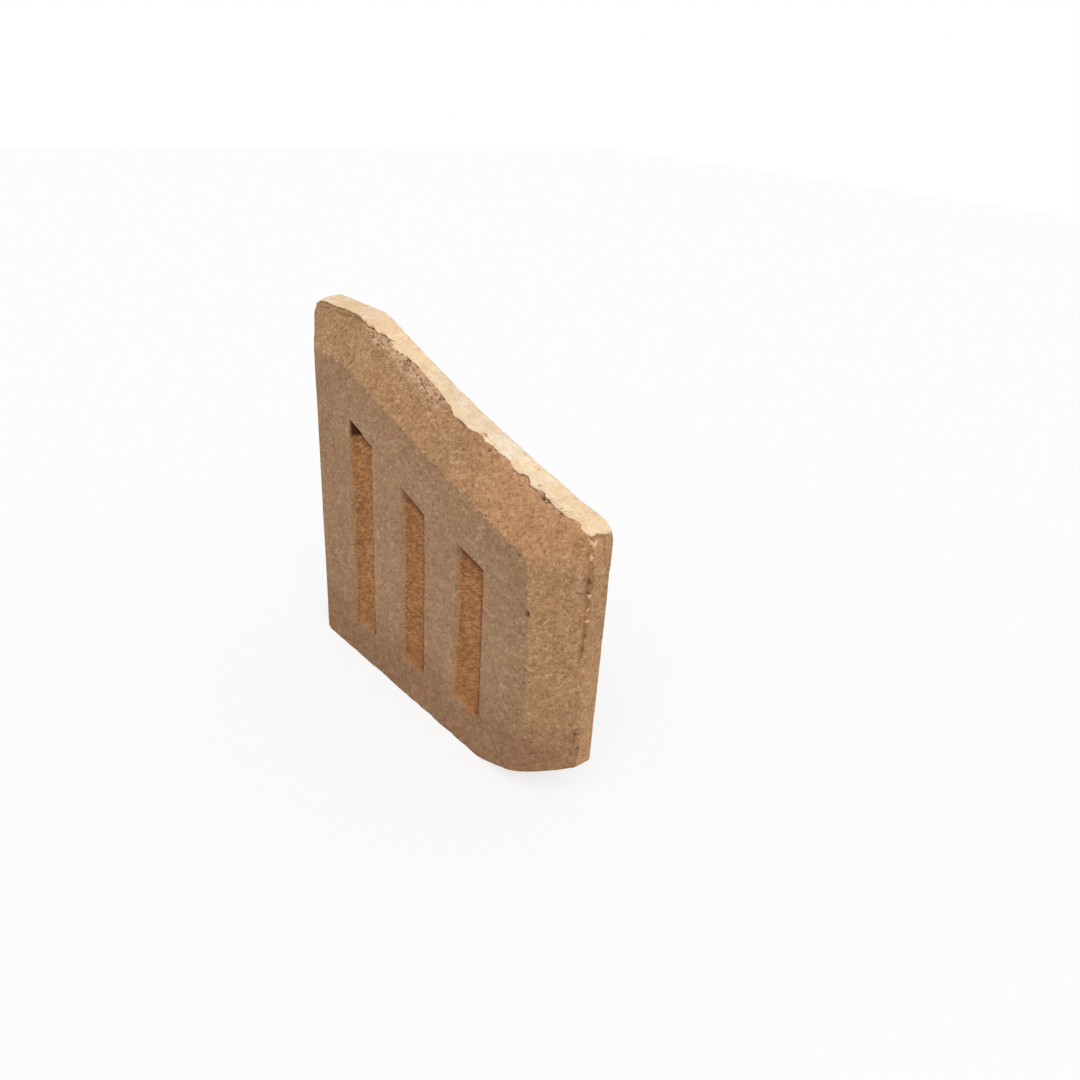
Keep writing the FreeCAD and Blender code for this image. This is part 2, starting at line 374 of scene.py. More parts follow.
def tornLayers(s):
    # torn layers that run along under the worn stretch of the arris, and a
    # fine seam under the lip at the tall end
    x, flat, below = s.x, 0 * s.z, s.below
    s.worn = between(x, *wear["tornFrom"])
    wander = below + 0.9 * pebble(x, 4.0, flat, 13.0) + 0.5 * crumb(x, 4.0, flat, 4.0)
    cracks = 0
    for place, width, deep in wear["layers"]:
        broken = smoothStep(-0.2, 0.3, tear(x, place * 3, flat, 6.0))
        cracks = cracks + deep * broken * bell(wander, place, width)
    s.seam = between(x, *wear["seamFrom"]) * smoothStep(-0.35, 0.25, tear(x, 6.0, flat, 8.0))
    s.seam = s.seam * bell(below + 0.8 * pebble(x, 1.0, flat, 11.0), wear["seamBelow"], 0.38)
    s.cracks = cracks * s.worn * 0.5 + 0.55 * s.seam
    ridges = s.worn * between(wander, 0.6, 1.4, 5.0, 7.5)
    ridges = ridges * smoothStep(0.1, 0.6, tear(x * 0.6, 1.0, wander * 2.0, 3.0))
    shelves = 0.7 * np.maximum(tear(x * 0.5, 1.0, wander * 1.4, 4.0), -0.2)
    return s.cracks + s.worn * between(below, 0.4, 2.5, 4, 13) * shelves - 0.25 * ridges


def lowArris(s):
    # the low end's arris: worn back, with a flake or two left standing, pale
    # crumbs stuck along it, small chips, and a thin seam beside them
    x, z, fromEnd = s.x, s.z, s.fromEnd
    reach = np.interp(z, wear["lowHeights"], wear["lowReach"])
    reach = reach + 0.6 * crumb(3.0, 5.0, z, 3.4) + 0.5 * pebble(4.0, 2.0, z, 8.0)
    roll = np.maximum(reach, 0) * smoothStep(5.0, 0.0, fromEnd)
    lip = np.minimum(reach, 0) * smoothStep(1.8, 0.8, fromEnd)
    jitter = 0.5 * crumb(x, 3.0, z, 1.1)

    def marks(places, inward, slender):
        # small round marks, the strongest where two meet
        total = 0
        for height, size, share in places:
            spot = bell(z + jitter, height, size) * bell(fromEnd + jitter, inward, size * slender)
            total = np.maximum(total, share * spot)
        return total

    patch = bell(z + jitter, 145.8, 2.0) * bell(fromEnd, 1.0, 2.4)
    patch = patch * (0.5 + 0.6 * crumb(x, 2.0, z, 1.3))
    s.crumbs = np.maximum(marks(wear["crumbs"], 0.5, 0.9), patch)
    s.chips = marks(wear["chips"], 1.6, 0.6)
    s.lowSeam = bell(fromEnd - 0.5 * pebble(2.0, 2.0, z, 9.0), 1.6, 0.35)
    s.lowSeam = s.lowSeam * smoothStep(-0.1, 0.4, tear(2.0, 3.0, z, 5.0))
    s.lowSeam = s.lowSeam * smoothStep(3, 8, s.below)
    depth = (roll + lip) * smoothStep(0, 6, s.below) - wear["crumbHeight"] * s.crumbs
    return depth + wear["lowSeam"] * s.lowSeam + wear["chipDepth"] * s.chips


def otherWear(s):
    # foot and tall end: arrises rubbed round, with small chips
    x, z = s.x, s.z
    chip = np.maximum(crumb(x, 7.0, z, 4.6), 0) + 1.5 * np.maximum(tear(x, 3.0, z, 11.0) - 0.25, 0)
    foot = (0.1 + 0.6 * chip) * smoothStep(1.6, 0.0, z - landFoot(x)) ** 2
    tall = (0.5 + 0.7 * chip) * smoothStep(2.0, 0.0, x) ** 2 * smoothStep(195, 184, z)
    # a torn hollow at the upper left of the first slot, and one deep pit
    left, _, top, _ = slotInset(slots[0], x, z)
    s.hollow = top + np.maximum(left, 0) * 0.78 + 0.5 * crumb(x, 1.0, z, 2.6)
    s.hollow = smoothStep(9.6, 8.2, s.hollow)
    s.hollow = s.hollow * smoothStep(-0.7, 0.1, left) * smoothStep(-0.6, 0.2, top)
    (pitX, pitZ), (wide, high) = wear["pitPlace"], wear["pitSize"]
    s.pit = bell(x, pitX, wide) * bell(z, pitZ, high)
    return foot + tall + wear["hollow"] * s.hollow + wear["pit"] * s.pit


def frontSurface():
    # The front as a height field: y, the depth from the slotted face's plane,
    # is the sum of the planes, the slots, an uneven pebbly grain that only
    # ever goes inwards, and the wear.
    x, z = frontGrid()
    s = SimpleNamespace(x=x, z=z, below=landTop(x) - z, fromEnd=brick["length"] - x)
    s.bevel, s.floor, s.rise = bevelDepth(x, z), slotDepth(x, z), bevelRise(x, z)
    depth = s.bevel + s.floor
    for pattern, height, cell in wear["uneven"]:
        depth = depth + height * (1 + pattern(x, 0.0, z, cell))
    depth = depth + topArris(s) + tornLayers(s) + lowArris(s) + otherWear(s)
    s.y = np.clip(depth, wear["least"], brick["thickness"] - wear["thinnest"])
    return s


def drawIn(x, z, inset):
    # every point moves in from both ends and from top and foot
    low, high = landFoot(x), landTop(x)
    share = (z - low) / (high - low)
    newX = inset + x * (brick["length"] - 2 * inset) / brick["length"]
    return newX, low + inset + share * (high - low - 2 * inset)


def rimRings(s):
    # The rim: from the front grid's edge back over the land, round the rear
    # arris. Each ring is the whole edge loop, moved across the brick and, at
    # the arris, drawn in a little.
    index = np.arange(s.x.size).reshape(s.x.shape)
    s.index = index
    s.loop = np.concatenate([index[0, :-1], index[:-1, -1], index[-1, :0:-1], index[:0:-1, 0]])
    loopX, loopY, loopZ = (values.ravel()[s.loop] for values in (s.x, s.y, s.z))
    behind, arris = brick["thickness"], brick["rearArris"]
    rings = []
    onTop = smoothStep(3.0, 0.0, landTop(loopX) - loopZ)
    s.atEnd = smoothStep(3.0, 0.0, np.minimum(loopX, brick["length"] - loopX))
    for share in eased(grid["landRows"], grid["landEdge"])[1:]:
        y = loopY + (behind - arris - loopY) * share
        dent = 0.06 * (1 + pebble(loopX, y, loopZ, 5.0)) + 0.06 * (1 + crumb(loopX, y, loopZ, 2.3))
        nibble = 0.6 + 0.5 * crumb(loopX, y, loopZ, 1.8)
        dent = dent + onTop * 0.9 * np.exp(-(y - loopY) / 1.6) * nibble
        dent = dent * np.clip(onTop + s.atEnd, 0, 1) * np.sin(math.pi * share) ** 0.5
        x, z = drawIn(loopX, loopZ, dent)
        rings.append((x, y, z))
    worn = arris * (0.4 + 1.4 * np.maximum(tear(loopX, 20.0, loopZ, 9.0), 0))
    for turn in np.radians((0, 30, 60, 90)):
        x, z = drawIn(loopX, loopZ, worn * (1 - math.cos(turn)))
        rings.append((x, behind - arris + arris * math.sin(turn) + 0 * x, z))
    s.turns = len(rings)
    return np.concatenate([np.stack(ring, axis=1) for ring in rings])


def rubCorners(points):
    # the tall end's top corner is rubbed off at the front, the toe's corner at the rear
    x, y, z = points.T
    length, deep, behind = brick["length"], brick["bevelDepth"], brick["thickness"]
    forward = np.clip(1 - (y - deep) / (behind - deep), 0, 1)
    tall = wear["tallRub"] * forward ** 4 * smoothStep(17, 6, x + brick["tallHeight"] - z)
    x, z = x + tall * smoothStep(14, 2, x), z - tall * 0.7
    toe = smoothStep(9, 2, length - x + z - brick["toeRise"]) * smoothStep(0.0, 0.55, 1 - forward)
    return np.stack([x, y, z - wear["toeRub"] * toe], axis=1)


def joinFaces(s, rearRows, rearShape):
    # faces of the front, the rim and the rear, and the triangles that tie the
    # rear's few rows to the many points of the two ends
    rows, columns = s.index.shape
    count, base = len(s.loop), s.index.size

    def patchwork(a):
        quads = np.stack([a[:-1, :-1], a[:-1, 1:], a[1:, 1:], a[1:, :-1]], axis=-1)
        return quads.reshape(-1, 4)

    quads = [patchwork(s.index)]
    rings = [s.loop] + [base + np.arange(count) + count * k for k in range(s.turns)]
    for outer, inner in zip(rings[:-1], rings[1:]):
        quads.append(np.stack([outer, inner, np.roll(inner, -1), np.roll(outer, -1)], axis=1))
    last = rings[-1]
    rear = base + count * s.turns + np.arange(np.prod(rearShape)).reshape(rearShape)
    bottomRow = last[:columns]
    rightSide = last[columns - 1:columns + rows - 1]
    topRow = last[columns + rows - 2:2 * columns + rows - 2][::-1]
    leftSide = np.concatenate([last[2 * columns + rows - 3:], last[:1]])[::-1]
    middle = np.concatenate([bottomRow[None, 1:-1], rear, topRow[None, 1:-1]], axis=0)
    quads.append(patchwork(middle)[:, [0, 3, 2, 1]])

    def tie(side, near, flip):
        # nearest of the few points for each step along the many, and one
        # triangle where that nearest point changes
        step = np.arange(rows - 1)
        pick = np.searchsorted((rearRows[:-1] + rearRows[1:]) / 2, step + 0.5)
        pick = np.clip(pick, 0, len(rearRows) - 1)
        many = np.stack([side[step], side[step + 1], near[pick]], axis=1)
        change = [np.argmax(pick > k) if np.any(pick > k) else rows - 1
                  for k in range(len(rearRows) - 1)]
        few = np.stack([near[:-1], side[np.array(change)], near[1:]], axis=1)
        both = np.concatenate([many, few])
        return both[:, ::-1] if flip else both

    ties = [tie(leftSide, middle[:, 0], False), tie(rightSide, middle[:, -1], True)]
    return np.concatenate(quads), np.concatenate(ties)


def makeMesh(name, points, quads, triangles):
    mesh = bpy.data.meshes.new(name)
    mesh.vertices.add(len(points))
    mesh.vertices.foreach_set("co", points.astype(np.float32).ravel())
    corners = np.concatenate([quads.ravel(), triangles.ravel()])
    sides = np.concatenate([np.full(len(quads), 4), np.full(len(triangles), 3)])
    starts = np.concatenate([[0], np.cumsum(sides)[:-1]])
    mesh.loops.add(len(corners))
    mesh.loops.foreach_set("vertex_index", corners.astype(np.int32))
    mesh.polygons.add(len(sides))
    mesh.polygons.foreach_set("loop_start", starts.astype(np.int32))
    mesh.update(calc_edges=True)
    mesh.validate()
    mesh.shade_smooth()
    return mesh


def slotShades(s):
    # The slots' floors get painted shade: a darker colour where they lie in shade
    # under the slanted top and along the right side. They keep a pale band without
    # the floors' brown beside the left wall and at the foot.
    x, z = s.x, s.z
    shaded, floorZone, wallZone = 0, smoothStep(1.3, 2.3, s.floor), np.ones_like(s.floor)
    for slot in slots:
        left, right, top, foot = slotInset(slot, x, z)
        inside = (left > 0) * (right > 0) * (top > 0) * (foot > 0)
        far = top + 0.8 * crumb(x, 2.0, z, 3.0)
        # painted shade: darker floor under the slanted top, and along the right side below
        near = np.maximum(smoothStep(6.0, 4.6, top), 0.5 * smoothStep(9.0, 5.0, far))
        near = near * smoothStep(-0.5, 2.5, top) * (0.1 + 0.9 * smoothStep(0.4, 2.4, left))
        aside = 0.55 + 0.2 * tear(x, 1.0, z, 5.0) + 0.25 * smoothStep(26, 6, foot)
        aside = aside * smoothStep(0.2, 2.0, foot) * between(right, 0.0, 2.5, 4.1, 6.2)
        shaded = np.maximum(shaded, np.maximum(near, aside) * inside)
        reach = slot["leftTop"] - slot["foot"] - recess["bandEnd"]
        band = slot["pale"] + slot["lean"] * np.clip(1 - foot / reach, 0, 1)
        beside = smoothStep(-0.9, 0.9, left - band + 0.3 * crumb(x, 6.0, z, 2.6))
        above = foot + 1.6 * crumb(x, 5.0, z * 0.6, 1.9) + 1.0 * pebble(x, 5.0, z, 6.0)
        rims = smoothStep(0.2, 0.8, np.minimum(right, top))
        floorZone = np.where(inside > 0, beside * smoothStep(-0.8, 2.6, above) * rims, floorZone)
        wallZone = np.where(inside > 0, smoothStep(0.0, 3.0, foot), wallZone)
    return shaded, floorZone, wallZone


def storeZones(mesh, s, rimY, rearCount):
    # Zones for the finish, stored at the points: values over the front grid,
    # round the rim, and one value for the rear.
    x, y, z, below = s.x, s.y, s.z, s.below
    behind = brick["thickness"]

    def store(name, frontValues, rimValues, rearValue):
        values = np.concatenate([frontValues.ravel(), rimValues, np.full(rearCount, rearValue)])
        layer = mesh.attributes.new(name, "FLOAT", "POINT")
        layer.data.foreach_set("value", values.astype(np.float32))

    def around(values):
        return np.tile(values.ravel()[s.loop], s.turns)

    plain = np.zeros_like(rimY)
    # crust: how far, in millimetres, a point lies inside the pale skin
    lowHalf = smoothStep(150, 200, x)
    underTop = landTopRaw(x) - z - 2.6
    fromCorner = underTop + 1.3 * lowHalf + 0.8 * crumb(z * 0, y, z, 3.0)
    crust = np.clip(np.minimum(s.lipLine - below, -fromCorner), -6, 2)
    crust = np.maximum(crust, (s.crumbs - 0.42) * 3.0)
    inward = np.maximum(rimY - around(y), 0)
    rimHalf, rimX, rimZ = around(lowHalf), around(x), around(z)
    rimCorner = around(underTop) + rimHalf * (0.7 - 0.1 * inward)
    rimCorner = rimCorner + (0.8 - 0.4 * rimHalf) * crumb(rimY * 0, rimY, rimZ, 3.0)
    rimCrust = np.minimum(-rimCorner, behind - 0.3 - rimY)
    rimCrust = np.minimum(rimCrust, inward + around(s.lipLine))
    patch = bell(rimZ, 145.0, 2.2) * bell(inward, 0, 4.5) * (rimX > brick["length"] - 5)
    patch = patch * (0.55 + 0.6 * crumb(2.0, rimY, rimZ, 1.3)) - 0.48
    rimCrumbs = np.maximum((around(s.crumbs) - 0.42) * 3.0 - inward * 1.6, patch * 2.2)
    store("crust", crust, np.clip(np.maximum(rimCrust, rimCrumbs), -2, 2), -2.0)
    # lip: how far a point lies in front of a line just behind the arris
    store("lip", 1.8 + np.clip(below, 0, 2), 1.8 - np.minimum(inward, 5), -3.0)
    shaded, floorZone, wallZone = slotShades(s)
    store("shaded", shaded, plain, 0.0)
    store("slotFloor", floorZone, plain, 0.0)
    walls = smoothStep(0.1, 0.5, s.floor) * (1 - floorZone) * wallZone
    store("slotWall", walls, plain, 0.0)
    store("bevel", np.clip(s.rise, -15, 3), plain + 3, 0.6)
    # arris: a painted highlight along the face's arris, partly also paler worn clay
    arris = bell(s.bevel, 0.35, 0.5) * (1 - smoothStep(0.1, 1.0, s.floor))
    store("arris", arris * smoothStep(0.05, 0.3, s.bevel), plain, 0.0)
    # torn places and painted shade: the hollow painted dark as painted shade, the pit, cracks,
    # chips, and a painted shadow under the lip
    shade = bell(below - s.lipLine, 0.45, 0.5) * smoothStep(0.6, -0.3, s.reach)
    shade = shade * smoothStep(-0.4, -0.8, fromCorner)
    tornAndShade = np.maximum(smoothStep(0.03, 0.25, s.hollow), s.pit) + 0.25 * s.cracks
    tornAndShade = tornAndShade + 0.35 * s.seam + 0.45 * shade + 0.4 * s.lowSeam + 0.7 * s.chips
    rimSeam = bell(rimCrust, -0.7, 0.5) * (rimY < behind - 2.5) * rimHalf
    store("tornAndShade", np.clip(tornAndShade, 0, 1), 0.4 * rimSeam, 0.0)
    # the bevel is browner along the low end's arris
    rust = smoothStep(4.0, 0.8, s.fromEnd) * smoothStep(92, 112, z) * smoothStep(1, 4, below)
    store("rust", rust, plain, 0.0)
    # where the arris is torn into layers, and how far down from the top a point lies
    lowBand = between(x, 172, 182, 214, 224) * smoothStep(4.0, 1.0, below - s.lipLine)
    layered = np.maximum(s.worn * smoothStep(7.5, 3.0, below), 0.45 * lowBand)
    store("layered", layered, plain, 0.0)
    under = np.clip(below + 5 * smoothStep(0.2, 0.5, s.crumbs), 0, 20)
    store("below", under, around(under) + 5 * (rimCrumbs > -0.2), 0.0)
    store("end", 0 * x, np.tile(s.atEnd, s.turns), 0.0)


def build():
    s = frontSurface()
    rim = rimRings(s)
    # the rear face: the same columns, few rows, from the rim's last ring
    rearRows = np.round(np.linspace(0, s.x.shape[0] - 1, grid["rearRows"] + 1)).astype(int)
    inner = rearRows[1:-1]
    rearX, rearZ = drawIn(s.x[inner, 1:-1], s.z[inner, 1:-1], brick["rearArris"] * 2.5)
    rearY = np.full_like(rearX, brick["thickness"])
    front = np.stack([s.x, s.y, s.z], axis=-1).reshape(-1, 3)
    rear = np.stack([rearX, rearY, rearZ], axis=-1).reshape(-1, 3)
    points = rubCorners(np.concatenate([front, rim, rear]))
    points = (points - (brick["length"] / 2, brick["thickness"] / 2, 0)) / 1000
    quads, triangles = joinFaces(s, rearRows, rearX.shape)
    mesh = makeMesh("firebrickBody", points, quads, triangles)
    storeZones(mesh, s, rim[:, 1], len(rear))
    piece = bpy.data.objects.new("firebrickBody", mesh)
    bpy.context.scene.collection.objects.link(piece)
    print("brick surface", len(points), "points,", len(quads) * 2 + len(triangles), "triangles")
    return piece


class Wire:
    # a socket that can be used in sums; every operator adds a Math node
    def __init__(self, tree, socket):
        self.tree, self.socket = tree, socket

    def maths(self, operation, first, second=0.0):
        return self.tree.node("ShaderNodeMath", {"operation": operation}, [first, second])

    def __add__(self, other):
        return self.maths("ADD", self, other)

    def __radd__(self, other):
        return self.maths("ADD", other, self)

    def __sub__(self, other):
        return self.maths("SUBTRACT", self, other)

    def __rsub__(self, other):
        return self.maths("SUBTRACT", other, self)

    def __mul__(self, other):
        return self.maths("MULTIPLY", self, other)

    def __rmul__(self, other):
        return self.maths("MULTIPLY", other, self)

    def unsigned(self):
        return self.maths("ABSOLUTE", self)

    def clamp(self):
        return self.tree.node("ShaderNodeClamp", {}, [self])


class Finish:
    # the node tree of one material or of the world
    def __init__(self, owner):
        self.owner = owner
        owner.use_nodes = True
        self.nodes, self.links = owner.node_tree.nodes, owner.node_tree.links
        self.nodes.clear()

    def node(self, kind, settings, inputs, output=0):
        # settings first, then values or wires by socket name or position
        made = self.nodes.new(kind)
        for key, value in settings.items():
            setattr(made, key, value)
        for key, value in inputs.items() if isinstance(inputs, dict) else enumerate(inputs):
            if isinstance(value, Wire):
                self.links.new(value.socket, made.inputs[key])
            else:
                made.inputs[key].default_value = value
        return Wire(self, made.outputs[output]) if made.outputs else None

    def mix(self, share, first, second, blend="MIX"):
        # tuples are colours without their fourth value
        first, second = ((*v, 1.0) if isinstance(v, tuple) else v for v in (first, second))
        settings = {"data_type": "RGBA", "blend_type": blend}
        return self.node("ShaderNodeMix", settings, {0: share, 6: first, 7: second}, 2)

    def smooth(self, value, low, high):
        span = {"Value": value, "From Min": low, "From Max": high}
        return self.node("ShaderNodeMapRange", {"interpolation_type": "SMOOTHSTEP"}, span)

    def vector(self, operation, inputs, output="Vector"):
        return self.node("ShaderNodeVectorMath", {"operation": operation}, inputs, output)

    def noise(self, where, scale, detail=2.0, rough=0.5, output="Fac"):
        sizes = {"Vector": where, "Scale": scale, "Detail": detail, "Roughness": rough}
        return self.node("ShaderNodeTexNoise", {}, sizes, output)

    def cells(self, where, scale, output, channel=None):
        # cells of random size, their distance or one channel of their colour
        found = self.node("ShaderNodeTexVoronoi", {}, {"Vector": where, "Scale": scale}, output)
        if channel is None:
            return found
        return self.node("ShaderNodeSeparateColor", {}, [found], channel)


def linear(*levels):
    # colours are noted as they look on screen, 0 to 255
    shares = [level / 255 for level in levels]
    return tuple(c / 12.92 if c <= 0.04045 else ((c + 0.055) / 1.055) ** 2.4 for c in shares)


clay = {
    "face": linear(160, 126, 96),
    "edge": linear(155, 120, 88),
    "bevel": linear(165, 125, 89),
    "warm": linear(183, 135, 94),
    "end": linear(181, 138, 98),
    # foot: painted shade, the darker colour near the floor
    "foot": linear(139, 103, 73),
    "pink": linear(171, 127, 101),
    "olive": linear(153, 125, 90),
    "slotFloor": linear(158, 106, 61),
    # slot walls: partly their own tan, partly painted light, paler for the lit left walls
    "slotWall": linear(176, 138, 100),
    "dark": linear(108, 74, 48),
    "light": linear(206, 172, 136),
    "floorLight": linear(200, 150, 102),
    "speck": linear(84, 57, 38),
    "rust": linear(146, 98, 66),
    # colour of the painted shade in the slots
    "shade": linear(96, 54, 32),
    # colour of torn places, also the painted shade in the hollow and the painted shadow under the
    # lip
    "tornAndShade": linear(92, 50, 31),
    # scales of the noises, in cells per metre
    "fine": 980.0,
    "grit": 720.0,
    "drag": 700.0,
    "grain": 560.0,
    "clot": 340.0,
    "grog": 300.0,
    "hue": 170.0,
    "patch": 150.0,
    "blotch": 45.0,
    "drift": 13.0,
    "streak": 840.0,
    # the grain is drawn out a little, along lines that rise to the low end
    "slant": (0.0, -0.46, 0.0),
    "grainStretch": (1.35, 0.93, 0.93),
    "streakStretch": (4.2, 1.25, 1.0),
    "dragReach": 0.0018,
    # dark specks: cells per metre, size, the share of cells without one, strength
    "specks": [(115.0, 0.19, 0.84, 0.56), (210.0, 0.26, 0.83, 0.44)],
    "bump": 0.6,
    "bumpHeight": 0.0006,
    "roughness": 0.9,
    "shine": 0.2,
}
skin = {
    "cream": linear(246, 220, 182),
    "tan": linear(240, 206, 166),
    "stain": linear(224, 186, 156),
    "blush": linear(236, 204, 176),
    "flake": linear(218, 180, 146),
    "lip": linear(231, 207, 174),
    "chalk": linear(250, 234, 210),
    "chalkPlace": (0.049, 0.0052, 0.165),
    # one broken blister, and dark pinholes with their sizes and strengths
    "blister": (0.0373, 0.0025, 0.1684),
    "pinholes": [
        ((0.0774, 0.0031, 0.1578), 0.0011, 0.8), ((0.0875, 0.0002, 0.1551), 0.0012, 0.7),
        ((0.0889, 0.0000, 0.1542), 0.0009, 0.6), ((0.0945, 0.0011, 0.1538), 0.0008, 0.6),
        ((0.0969, 0.0014, 0.1533), 0.0009, 0.6), ((0.0963, 0.0000, 0.1509), 0.0016, 0.5),
    ],
}


def patterns(f):
    # the noises and stored zones that the finish is mixed from
    g = SimpleNamespace()
    place = f.node("ShaderNodeTexCoord", {}, [], "Object")
    g.along = f.node("ShaderNodeSeparateXYZ", {}, [place], "X")
    g.height = f.node("ShaderNodeSeparateXYZ", {}, [place], "Z")
    names = ("slotFloor", "slotWall", "crust", "lip", "bevel", "tornAndShade", "arris", "end", "layered",
             "below", "shaded", "rust")
    g.zone = {name: f.node("ShaderNodeAttribute", {"attribute_name": name}, [], "Fac")
              for name in names}

    def slanted(where, stretch):
        turned = {"Vector": where, "Rotation": clay["slant"], "Scale": stretch}
        return f.node("ShaderNodeMapping", {"vector_type": "TEXTURE"}, turned)

    lie = slanted(place, clay["grainStretch"])
    g.fine = f.smooth(f.noise(lie, clay["fine"], 1.0, 0.6), 0.36, 0.64)
    g.grain = f.smooth(f.noise(lie, clay["grain"], 2.0, 0.6), 0.36, 0.64)
    g.clot = f.smooth(f.noise(lie, clay["clot"], 1.0, 0.6), 0.36, 0.64)
    g.grog = f.cells(lie, clay["grog"], "Color", 0)
    # places pushed about by a fine noise, so that small marks aren't round
    reach = clay["dragReach"]
    drag = f.noise(place, clay["drag"], output="Color")
    drag = f.vector("MULTIPLY_ADD", [drag, (reach,) * 3, (-reach / 2,) * 3])
    g.bent = f.vector("ADD", [place, drag])
    g.grit = f.cells(f.vector("ADD", [lie, drag]), clay["grit"], "Color", 2)
    streak = f.noise(slanted(g.bent, clay["streakStretch"]), clay["streak"], 1.0)
    g.streak = f.smooth(streak, 0.38, 0.62)
    g.blotch = f.noise(place, clay["blotch"], 3.0, 0.55)
    g.patch = f.noise(place, clay["patch"])
    g.drift = f.noise(place, clay["drift"])
    g.hue = f.noise(place, clay["hue"])
    # torn layers follow a noise drawn out along the arris
    across = g.zone["below"] * 0.62 + (g.grain - 0.5) * 0.12
    drawn = f.node("ShaderNodeCombineXYZ", {}, [g.along * 75.0, 0.0, across])
    g.strata = f.noise(drawn, 1.0, 1.6)
    return g


def bareClay(f, g):
    # greyer on the slotted face, warmer on the bevels, darker at the foot with painted
    # shade near the floor, browner on the floors of the slots
    zone, along, height = g.zone, g.along, g.height
    g.slope = zone["bevel"] + (g.patch - 0.5) * 1.6 + (g.grain - 0.5) * 0.5
    g.slope = f.smooth(g.slope, -0.55, 0.55)
    onFace = 1.0 - g.slope
    atTall = f.smooth(along + (g.blotch - 0.5) * 0.04, -0.040, -0.080)
    tone = f.mix(atTall, clay["face"], clay["edge"])
    nearArris = f.smooth(zone["bevel"] + (g.blotch - 0.5) * 3.0, -13.0, -4.0)
    tone = f.mix(nearArris * 0.85, tone, clay["edge"])
    warm = f.smooth(along, 0.02, 0.09) * f.smooth(height, 0.125, 0.140)
    tone = f.mix(g.slope, tone, f.mix(warm, clay["bevel"], clay["warm"]))
    # painted shade: darker colour towards the foot, near the floor
    g.dusk = height + (g.blotch - 0.5) * 0.04 - f.smooth(along, 0.06, 0.11) * 0.012
    g.dusk = f.smooth(g.dusk, 0.050, 0.012)
    tone = f.mix(g.dusk * 0.9, tone, clay["foot"])
    tone = f.mix(zone["end"] * 0.8, tone, clay["end"])
    tone = f.mix(f.smooth(g.hue, 0.52, 0.66) * 0.5 * onFace, tone, clay["pink"])
    tone = f.mix(f.smooth(g.hue, 0.48, 0.34) * 0.5 * onFace, tone, clay["olive"])
    # slot walls painted paler than the face: partly their own tan, partly painted light for the
    # lit left walls
    tone = f.mix(zone["slotWall"] * 0.8, tone, clay["slotWall"])
    g.floor = f.smooth(zone["slotFloor"] + (g.grain - 0.5) * 0.4, 0.25, 0.75)
    return f.mix(g.floor, tone, clay["slotFloor"])


def paleSkin(f, g, tone):
    # the fired skin: tan at the tall end, cream further down, whiter on its lip
    zone, along, patch, grain = g.zone, g.along, g.patch, g.grain
    g.edge = (patch - 0.5) * 0.9 + (grain - 0.5) * 0.35
    g.edge = g.edge + (g.strata - 0.5) * 9.0 * zone["layered"]
    g.edge = g.edge + (g.fine - 0.5) * 1.6 * f.smooth(zone["below"], 4.0, 9.0)
    g.crust = f.smooth(zone["crust"] + g.edge, -0.12, 0.12)
    creamy = f.smooth(along + (g.blotch - 0.5) * 0.06, -0.045, -0.015)
    look = f.mix(creamy, skin["tan"], skin["cream"])
    broad = f.smooth(along, -0.035, -0.005) * f.smooth(along, 0.075, 0.040)
    front = zone["lip"] + g.edge * 1.5 + broad * 4.5 + (g.blotch - 0.5) * 6.0
    whiter = f.smooth(front, -1.2, 1.2) * f.smooth(along + (g.blotch - 0.5) * 0.05, -0.05, 0.01)
    look = f.mix(whiter * 0.85, look, skin["lip"])
    stained = f.smooth(patch * 0.6 + grain * 0.4, 0.36, 0.22)
    look = f.mix(stained * 0.5 * whiter, look, skin["stain"])
    chalk = f.vector("DISTANCE", [g.bent, skin["chalkPlace"]], "Value") + (patch - 0.5) * 0.024
    look = f.mix(f.smooth(chalk, 0.014, 0.004) * 0.65, look, skin["chalk"])
    look = f.mix(f.smooth(g.hue, 0.54, 0.64) * 0.45, look, skin["chalk"])
    look = f.mix(f.smooth(g.hue, 0.46, 0.36) * 0.75, look, skin["tan"])
    look = f.mix(f.smooth(g.blotch, 0.54, 0.62) * 0.3, look, skin["blush"])
    look = f.mix(f.smooth(along, 0.085, 0.108) * 0.45, look, skin["tan"])
    look = f.mix(f.smooth(zone["below"], 1.6, 4.5) * 0.85, look, skin["flake"])
    return f.mix(g.crust, tone, look)


def grogGrain(f, g, tone):
    # light and dark crumbs a millimetre or two across, strongest on the
    # bevels; the slots' floors carry short streaks instead
    speckle = (g.fine - 0.5) * 0.35 + (g.grain - 0.5) * 0.3
    speckle = speckle + (g.grog - 0.5) * 0.25 + (g.grit - 0.5) * 0.5
    streaks = (g.clot * 0.2 + g.streak * 0.8 - 0.5) * g.floor * 1.15
    speckle = speckle * (1.06 + 0.24 * g.slope - 0.2 * g.floor) + streaks
    paler = f.mix(g.floor, clay["light"], clay["floorLight"])
    lighten = f.smooth(speckle, 0.0, 0.8) * (0.59 - 0.11 * g.floor - 0.33 * g.dusk)
    tone = f.mix(lighten, tone, paler)
    darken = f.smooth(speckle, 0.0, -0.8) * (0.6 - 0.32 * g.crust)
    return f.mix(darken, tone, clay["dark"])


